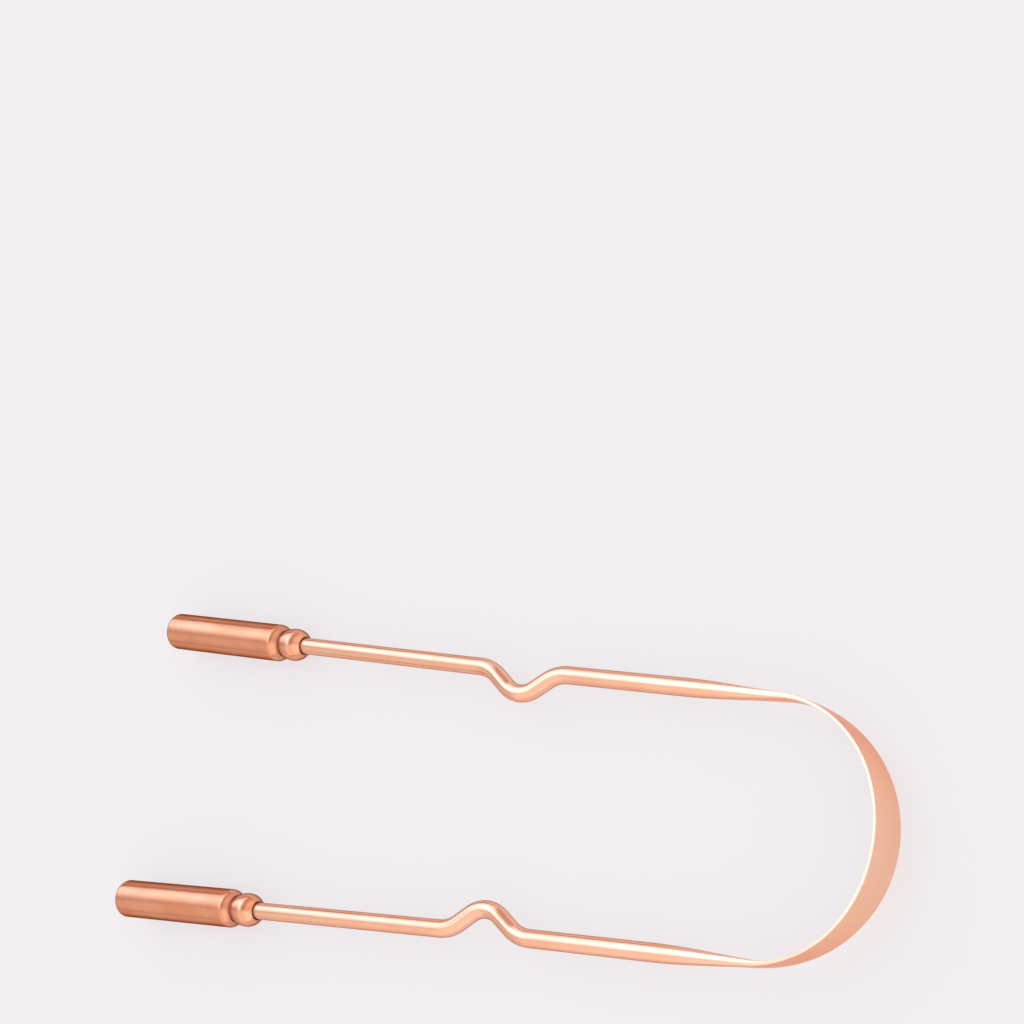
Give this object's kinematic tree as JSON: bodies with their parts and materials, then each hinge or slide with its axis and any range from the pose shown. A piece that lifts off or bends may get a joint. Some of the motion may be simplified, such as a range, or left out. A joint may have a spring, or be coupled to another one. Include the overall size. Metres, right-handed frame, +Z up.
{
  "type": "tongue scraper",
  "caption": "U-shaped copper tongue scraper: a flat scraping bow on springy wire arms, each pinched inward as a finger stop and ending in a turned grip with a beaded neck.",
  "frame": {"origin": "middle of the box around the part, on the surface it lies on", "axes": "+X toward the scraping bow, +Y toward the left arm, +Z up, square to the plane of the U"},
  "size_m": [0.1344, 0.051, 0.0076],
  "materials": {
    "copper_band": "polished bare copper, rolled flat",
    "copper_wire": "polished bare copper, drawn",
    "copper_grip": "polished bare copper, turned"
  },
  "bodies": {
    "bow": {"scraping_bow": "copper_band"},
    "left_side": {"left_arm": "copper_wire", "left_grip": "copper_grip"},
    "right_side": {"right_arm": "copper_wire", "right_grip": "copper_grip"}
  },
  "joints": [
    {"name": "left_arm_flex", "type": "hinge", "parent": "bow", "child": "left_side", "pos_m": [0.04985, 0.01769, 0.0038], "axis": [0, 0, 1], "range_deg": [-6, 9.4], "stiffness_Nm_per_rad": 0.25},
    {"name": "right_arm_flex", "type": "hinge", "parent": "bow", "child": "right_side", "pos_m": [0.04985, -0.01769, 0.0038], "axis": [0, 0, -1], "range_deg": [-6, 9.4], "stiffness_Nm_per_rad": 0.25}
  ]
}
